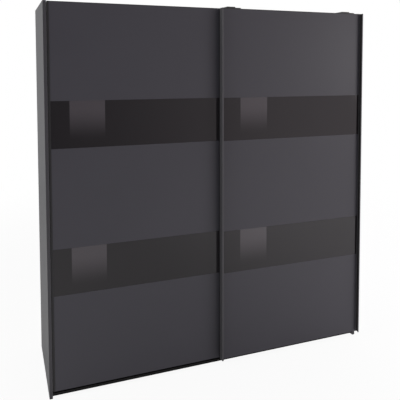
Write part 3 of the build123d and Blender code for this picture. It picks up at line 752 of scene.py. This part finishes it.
class WARDROBE_OT_carcass_boards(PieceOperator, bpy.types.Operator):
    """Dresses the sides, top, bottom, partition, shelves, back sheets and their joint strip"""

    bl_idname = "wardrobe.carcass_boards"
    bl_label = "Carcass Boards"

    def execute(self, context):
        for hand, _sense in HANDS:
            dress("side_panel_" + hand, "side_panel_" + hand)
            dress("hat_shelf_" + hand, "inner_board")
            dress("back_sheet_" + hand, "back_sheet")
        for node in ("top_panel", "bottom_panel", "middle_partition"):
            dress(node, "inner_board")
        dress("back_joint_strip", "strip")
        return DONE


class WARDROBE_OT_door_boards(PieceOperator, bpy.types.Operator):
    """Dresses both door boards and their glass bands"""

    bl_idname = "wardrobe.door_boards"
    bl_label = "Door Boards and Glass Bands"

    def execute(self, context):
        for door in DOORS:
            dress(door + "_leaf", door + "_leaf")
            for band in ("upper", "lower"):
                dress(door + "_glass_" + band, door + "_glass")
        return DONE


def draw_profile(door, hand, sense, grip):
    """One profile: its outline, from the outer back corner round to the outer front, carried up the door."""
    node = door + "_edge_" + hand
    low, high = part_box(node)
    s = sizes()
    outer_x = low.x if sense > 0 else high.x
    wall = s.grip_wall if grip else s.trim_wall
    leg, face_y = high.x - low.x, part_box(door + "_leaf")[0].y
    back_y, leg_front = high.y - s.leg_thick, face_y - s.leg_thick
    corners = [(0, high.y), (leg, high.y), (leg, back_y), (wall, back_y), (wall, face_y), (leg, face_y),
               (leg, leg_front)]
    reach = [0.45] * len(corners)
    if grip:
        lip_back = low.y + s.grip_lip_thick
        corners += [(wall, leg_front), (wall, lip_back), (s.grip_lip, lip_back), (s.grip_lip, low.y)]
        reach += [0.9, 0.9, 0.95, 0.95]
    corners = [(outer_x + sense * u, y) for u, y in corners + [(0, low.y)]]
    outline = rounded_outline(corners, np.array(reach + [1.8 if grip else 0.8]) * MM)
    shape = carried(outline, bar_stations(low.z, high.z, 0.15 * MM), "Z")

    # Marks the channel's inner faces behind the lip, which the grip finish paints near black as painted
    # shade.
    def inside(centres, normals):
        deep = (centres[:, 0] - outer_x) * sense > 1.0 * MM
        ahead = centres[:, 1] < leg_front + 0.1 * MM
        return deep & ahead & ((normals[:, 0] * sense > 0.5) | (normals[:, 1] > 0.5))

    looks, slot = ("grip", "grip_aluminium") if grip else ("trim", "edge_aluminium")
    build(door + "_edge_profile_" + hand, shape, looks, door, node, inside if grip else None)


class WARDROBE_OT_edge_profiles(PieceOperator, bpy.types.Operator):
    """Draws the four edge profiles of the doors, with eased ends and rounded lips"""

    bl_idname = "wardrobe.edge_profiles"
    bl_label = "Edge Profiles"

    def execute(self, context):
        for door in DOORS:
            for hand, sense in HANDS:
                draw_profile(door, hand, sense, door == "front_door")
        return DONE


class WARDROBE_OT_top_track(PieceOperator, bpy.types.Operator):
    """Draws the double top track with two running ribs and fine die grooves, and dresses its rubber stops"""

    bl_idname = "wardrobe.top_track"
    bl_label = "Top Track"

    def execute(self, context):
        low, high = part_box("top_track")
        base_top = low.z + sizes().track_base
        half = sizes().rib_wide / 2
        corners = [(low.y, low.z), (high.y, low.z), (high.y, base_top)]
        reach = [0.2, 0.2, 0.6]
        groove, depth = 0.6 * MM, 0.4 * MM
        lanes = [sum(corner.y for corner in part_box(door + "_wheel_left")) / 2 for door in DOORS]
        for lane in sorted(lanes, reverse=True):
            for y in (lane + 9.0 * MM, lane + 6.5 * MM):
                corners += [(y + groove, base_top), (y, base_top - depth), (y - groove, base_top)]
            corners += [(lane + half, base_top), (lane + half, high.z),
                        (lane - half, high.z), (lane - half, base_top)]
            reach += [0.1] * 6 + [0.5, 1.3, 1.3, 0.5]
        outline = rounded_outline(corners + [(low.y, base_top)], np.array(reach + [0.6]) * MM)
        shape = carried(outline, bar_stations(low.x, high.x, 0.1 * MM), "X")
        build("top_track_profile", shape, "track", "carcass", "top_track")
        dress("track_stops", "rubber")
        return DONE


class WARDROBE_OT_guide_rail(PieceOperator, bpy.types.Operator):
    """Draws the black guide rail under the doors, and dresses the doors' guide angles and shoes"""

    bl_idname = "wardrobe.guide_rail"
    bl_label = "Guide Rail"

    def execute(self, context):
        s = sizes()
        low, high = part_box("bottom_guide_rail")
        front, mid, back = low.y, low.y + s.guide_pitch, low.y + s.guide_depth
        wall = s.guide_wall
        floor, rib_top = low.z + s.guide_floor, low.z + s.guide_rib
        flange_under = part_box("bottom_panel")[1].z
        corners = [(front, low.z), (back, low.z), (back, flange_under), (high.y, flange_under),
                   (high.y, high.z), (back - wall, high.z), (back - wall, floor),
                   (mid + wall, floor), (mid + wall, rib_top), (mid, rib_top), (mid, floor),
                   (front + wall, floor), (front + wall, rib_top), (front, rib_top)]
        reach = np.array([0.8, 0.5, 0.1, 0.1, 0.6, 0.8, 0.7, 0.7, 1.1, 1.1, 0.7, 0.7, 1.1, 1.1]) * MM
        shape = carried(rounded_outline(corners, reach), bar_stations(low.x, high.x, 0.1 * MM), "X")
        build("guide_rail_profile", shape, "guide", "carcass", "bottom_guide_rail")
        for door in DOORS:
            dress(door + "_guide_angles", "zinc")
            dress(door + "_guide_shoes", "nylon")
        return DONE


def turn_wheel(node, name):
    """One wheel, its profile in millimetres from the bore round to the tread and mirrored."""
    low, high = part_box(node)
    outer, half = (high.x - low.x) / 2 / MM, (high.y - low.y) / 2 / MM
    bore, hub, rim, tread = 2.56, 4.2, 8.0, outer - 2.0
    dish = np.linspace(hub + 0.5, rim - 0.5, 7)
    side = np.concatenate([
        [(bore, half - 0.3), (bore + 0.3, half), (hub, half), (hub + 0.4, half - 0.4)],
        np.stack([dish, np.full_like(dish, half - 1.2)], 1),
        [(rim - 0.4, half - 0.4), (rim, half), (outer - 0.9, half), (outer - 0.3, half - 0.3),
         (outer, half - 0.9), (outer, 2.5), (outer - 0.2, 2.3), (tread + 0.15, 2.0), (tread, 1.8)]])

    def dimples(radius, angle, height):
        """Six shallow dimples in the dished side: a bell across the web times a clipped cosine round it."""
        across = np.exp(-((radius - (hub + rim) / 2) ** 2)) * (radius < rim)
        around = np.clip(np.cos(6 * angle), 0.0, 1.0)
        return -0.8 * np.sign(height) * across * around * (abs(height) < half - 1.0)

    points, faces = turned(np.concatenate([side * (1, -1), side[::-1]]), 72, True, dimples)
    shape = (placed(points * MM, (low + high) / 2, "Y"), faces)
    build(name, shape, "nylon", node + "_body", node)


class WARDROBE_OT_running_gear(PieceOperator, bpy.types.Operator):
    """Turns the four grooved wheels with their dished and dimpled sides, and dresses hangers and axles"""

    bl_idname = "wardrobe.running_gear"
    bl_label = "Wheels and Hangers"

    def execute(self, context):
        for door in DOORS:
            for hand, _sense in HANDS:
                dress(f"{door}_hanger_{hand}", "hanger" if door == "front_door" else "zinc")
                dress(f"{door}_axle_{hand}", "zinc")
                turn_wheel(f"{door}_wheel_{hand}", f"{door}_running_wheel_{hand}")
        return DONE


class WARDROBE_OT_clothes_rails(PieceOperator, bpy.types.Operator):
    """Draws the oval clothes rails as thin tubes, and dresses their cups and the shelf pins"""

    bl_idname = "wardrobe.clothes_rails"
    bl_label = "Clothes Rails"

    def execute(self, context):
        for hand, _sense in HANDS:
            node = "clothes_rail_" + hand
            low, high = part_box(node)
            _x, middle_y, middle_z = (low + high) / 2
            radius = (high.y - low.y) / 2
            straight = (high.z - low.z) / 2 - radius
            angle = np.linspace(0.0, 2 * np.pi, 64, endpoint=False) + np.pi / 64
            outline = np.stack([middle_y + radius * np.cos(angle),
                                middle_z + radius * np.sin(angle) + straight * np.sign(np.sin(angle))], 1)
            wall = sizes().rail_wall
            stations = bar_stations(low.x, high.x, 0.2 * MM) + [(high.x, wall), (low.x, wall)]
            shape = carried(outline, stations, "X", hollow=True)
            build("oval_rail_" + hand, shape, "chrome", "carcass", node)
        dress("rail_cups", "cup")
        dress("shelf_pins", "zinc")
        return DONE


def screws(name, node, body, axis, tall=2.0 * MM, recess=1.0 * MM, gap=13.0 * MM):
    """Stands a screw at each clump of the node's points, its head up to the clump's high end on axis."""
    column = "XYZ".index(axis)
    parts = []
    for low, high in clump_boxes(node, gap):
        origin = (low + high) / 2
        origin[column] = high[column] - tall
        points, faces = disc_head(sizes().head_radius, tall, 0.5, 0.13, recess, tall * 0.45,
                                  sizes().shank_radius, origin[column] - low[column])
        parts.append((placed(points, origin, axis), faces))
    build(name, joined(parts), "zinc", body, node)


class WARDROBE_OT_fasteners(PieceOperator, bpy.types.Operator):
    """Makes the pan-head screws and the cam discs, and dresses the cam bolts and the wall angles"""

    bl_idname = "wardrobe.fasteners"
    bl_label = "Screws, Cams and Wall Angles"

    def execute(self, context):
        screws("track_screw_set", "track_screws", "carcass", "Z", tall=1.5 * MM, recess=0.7 * MM)
        screws("guide_rail_screw_set", "guide_rail_screws", "carcass", "Z")
        screws("wall_angle_screw_set", "wall_bracket_screws", "carcass", "Z", gap=8.5 * MM)
        for door in DOORS:
            for part in ("_hanger", "_guide"):
                screws(door + part + "_screw_set", door + part + "_screws", door, "Y")
        parts = []
        for low, high in clump_boxes("cam_discs"):
            radius, tall = (high[0] - low[0]) / 2, high[2] - low[2]
            points, faces = disc_head(radius, tall, 0.55, 0.12, 2.0 * MM, tall - 0.3 * MM, radius, 0.0)
            parts.append((placed(points, (*(low + high)[:2] / 2, high[2]), "Z", -1.0), faces))
        build("cam_disc_set", joined(parts), "zinc", "carcass", "cam_discs")
        dress("cam_bolts", "zinc")
        dress("wall_brackets", "zinc")
        return DONE


def stand(name, node, profile):
    """Turns profile(radius, tall), in millimetres, at each clump of a node's points, up from its low end."""
    parts = []
    for low, high in clump_boxes(node):
        points, faces = turned(profile((high[0] - low[0]) / 2 / MM, (high[2] - low[2]) / MM))
        parts.append((placed(points * MM, (*(low + high)[:2] / 2, low[2]), "Z"), faces))
    build(name, joined(parts), "glider", "carcass", node)


def glider(radius, tall):
    """A round pad with an eased edge, and the nail that holds it."""
    pad, nail = 3.0, 1.5
    return [(0.0, 0.0), (radius - 1.6, 0.0), (radius - 0.5, 0.4), (radius, 1.3), (radius, pad - 0.3),
            (radius - 0.3, pad), (nail, pad), (nail, tall - 2.0), (0.0, tall)]


def threaded_foot(radius, tall):
    """A round plate under a stem whose ten rows step in and out as a thread."""
    stem, rows = 6.0, np.arange(0.0, 10.0)
    plate = [(0.0, 0.0), (radius - 1.5, 0.0), (radius - 0.4, 0.5), (radius, 1.5), (radius, 3.8),
             (radius - 0.6, 4.6), (radius - 1.6, 5.0), (stem + 1.2, 5.0), (stem, 5.8)]
    thread = np.stack([stem - 0.45 * (rows % 2), 6.2 + rows], 1)
    return np.concatenate([plate, thread, [(stem - 0.3, tall), (0.0, tall)]])


class WARDROBE_OT_feet(PieceOperator, bpy.types.Operator):
    """Turns the nail-on gliders and the adjustable middle feet"""

    bl_idname = "wardrobe.feet"
    bl_label = "Gliders and Feet"

    def execute(self, context):
        stand("nail_glider_set", "floor_gliders", glider)
        stand("middle_foot_set", "middle_feet", threaded_foot)
        return DONE


def lay_floor(scene, studio):
    """A round floor: point (i, a) is (R_i cos a, R_i sin a, 0), in even rings. It fades at its rim, and glows
    as a painted pool of rosy light, stronger towards +X.
    """
    rings = np.linspace(0.0, 1.0, 16) * studio.floor_reach
    points, faces = turned(np.stack([rings, np.zeros_like(rings)], 1), 96)
    mesh = bpy.data.meshes.new("studio_floor")
    mesh.from_pydata(points.tolist(), [], faces)
    w = Finish("studio floor", IOR=1.3, Emission_Strength=studio.floor_glow)
    where, reach = w.place(), studio.floor_reach
    base = w.toned(rgba(scene.wardrobe_colours.floor), w.ramp(w.noise(where, 1.4, 3.0), 0.2, 0.8, 0.985, 1.0))
    # Painted light: a rosy glow, weak at -X and strong at +X, that lights the wardrobe like a pool of light
    # on the floor.
    painted_light_pool = w.toned(w.mix(1.0, base, ROSY_PAINTED_LIGHT, "MULTIPLY"), w.ramp(w.parts(where)[0], -0.2, 1.8, 0.1, 2.1))
    rough = w.ramp(w.noise(where, 30.0, 3.0), 0.3, 0.7, 0.7, 0.8)
    w.set(Base_Color=base, Emission_Color=painted_light_pool, Roughness=rough)
    white = w.node("Emission", rgba(WHITE), 1.0).outputs[0]
    far = w.node("VectorMath", where, operation="LENGTH").outputs["Value"]
    share = w.times(w.camera_ray(), w.ramp(far, 0.35 * reach, 0.95 * reach, studio.floor_white, 1.0))
    lit = w.out.links[0].from_socket
    w.feed(w.out, w.node("MixShader", share, lit, white).outputs[0])
    mesh.materials.append(w.material)
    put("studio_floor", mesh)


def light_surroundings(scene, studio):
    """White where the camera sees it; for light, dimmer in front, bright behind, warm on the right."""
    world = bpy.data.worlds.new("studio")
    world.use_nodes = True
    world.node_tree.nodes.clear()
    w = Wiring(world.node_tree)

    def sky(colour, strength):
        return w.node("Background", rgba(colour), strength).outputs[0]

    x, y, z = w.parts(w.node("TexCoord").outputs["Generated"])
    level = w.ramp(w.ramp(y, -0.25, 0.45), 0.0, 1.0, studio.sky_front, studio.sky_back)
    soft = sky(WHITE, w.plus(level, w.ramp(z, 0.2, 0.9, 0.0, 0.3)))
    warm = sky(WARM_LIGHT, w.times(w.ramp(x, 0.0, 0.70), w.ramp(y, -0.1, -0.5), 0.88))
    both = w.node("AddShader", soft, warm).outputs[0]
    w.node("OutputWorld", w.node("MixShader", w.camera_ray(), both, sky(WHITE, 1.0)).outputs[0])
    scene.world = world


def hang_light(name, place, aim, size, power, colour):
    """A soft square light at place, facing aim."""
    light = bpy.data.lights.new(name, "AREA")
    light.size, light.energy, light.color = size, power, colour
    lamp = put(name, light)
    lamp.location = place
    away = np.subtract(place, aim)
    lamp.rotation_euler = (math.acos(away[2] / np.linalg.norm(away)), 0.0, math.atan2(away[0], -away[1]))


def set_camera(scene, studio):
    camera = bpy.data.cameras.new("camera")
    camera.sensor_width = 36.0
    camera.lens = studio.camera_lens
    camera.shift_x, camera.shift_y = studio.shift_across, studio.shift_up
    scene.camera = put("camera", camera)
    scene.camera.location = studio.camera_place
    scene.camera.rotation_euler = (math.pi / 2 - studio.camera_pitch, studio.camera_roll, -studio.camera_yaw)


class WARDROBE_OT_stage(PieceOperator, bpy.types.Operator):
    """Sets the pale floor, the soft lights, the surroundings and the camera"""

    bl_idname = "wardrobe.stage"
    bl_label = "Studio"

    def execute(self, context):
        scene = context.scene
        studio = scene.wardrobe_studio
        lay_floor(scene, studio)
        light_surroundings(scene, studio)
        hang_light("side_light", (-3.4, -0.75, 2.7), (-0.5, -0.3, 1.3), 1.8, studio.side_power, WHITE)
        hang_light("front_light", (3.2, -2.6, 1.7), (1.6, -1.6, 0.0), 1.6, studio.front_power,
                        (1.0, 0.985, 0.985))
        set_camera(scene, studio)
        scene.view_settings.view_transform = "Standard"
        return DONE


GROUPS = {"wardrobe_sizes": WardrobeSizes, "wardrobe_colours": WardrobeColours,
          "wardrobe_studio": WardrobeStudio}
OPERATORS = (WARDROBE_OT_carcass_boards, WARDROBE_OT_door_boards, WARDROBE_OT_edge_profiles,
             WARDROBE_OT_top_track, WARDROBE_OT_guide_rail, WARDROBE_OT_running_gear,
             WARDROBE_OT_clothes_rails, WARDROBE_OT_fasteners, WARDROBE_OT_feet, WARDROBE_OT_stage)


class WARDROBE_PT_panel(bpy.types.Panel):
    """Lists the wardrobe's operators and settings"""

    bl_label = "Sliding Door Wardrobe"
    bl_idname = "WARDROBE_PT_panel"
    bl_space_type = "VIEW_3D"
    bl_region_type = "UI"
    bl_category = "Wardrobe"

    def draw(self, context):
        for operator in OPERATORS:
            self.layout.operator(operator.bl_idname)
        for label, group in GROUPS.items():
            box = self.layout.box()
            for name in group.__annotations__:
                box.prop(getattr(context.scene, label), name)


CLASSES = (*GROUPS.values(), *OPERATORS, WARDROBE_PT_panel)


def register():
    for made in CLASSES:
        bpy.utils.register_class(made)
    for label, group in GROUPS.items():
        setattr(bpy.types.Scene, label, bpy.props.PointerProperty(type=group))


def unregister():
    for label in GROUPS:
        delattr(bpy.types.Scene, label)
    for made in reversed(CLASSES):
        bpy.utils.unregister_class(made)


def main():
    register()
    for operator in OPERATORS:
        group, name = operator.bl_idname.split(".")
        getattr(getattr(bpy.ops, group), name)()


if __name__ == "__main__":
    main()
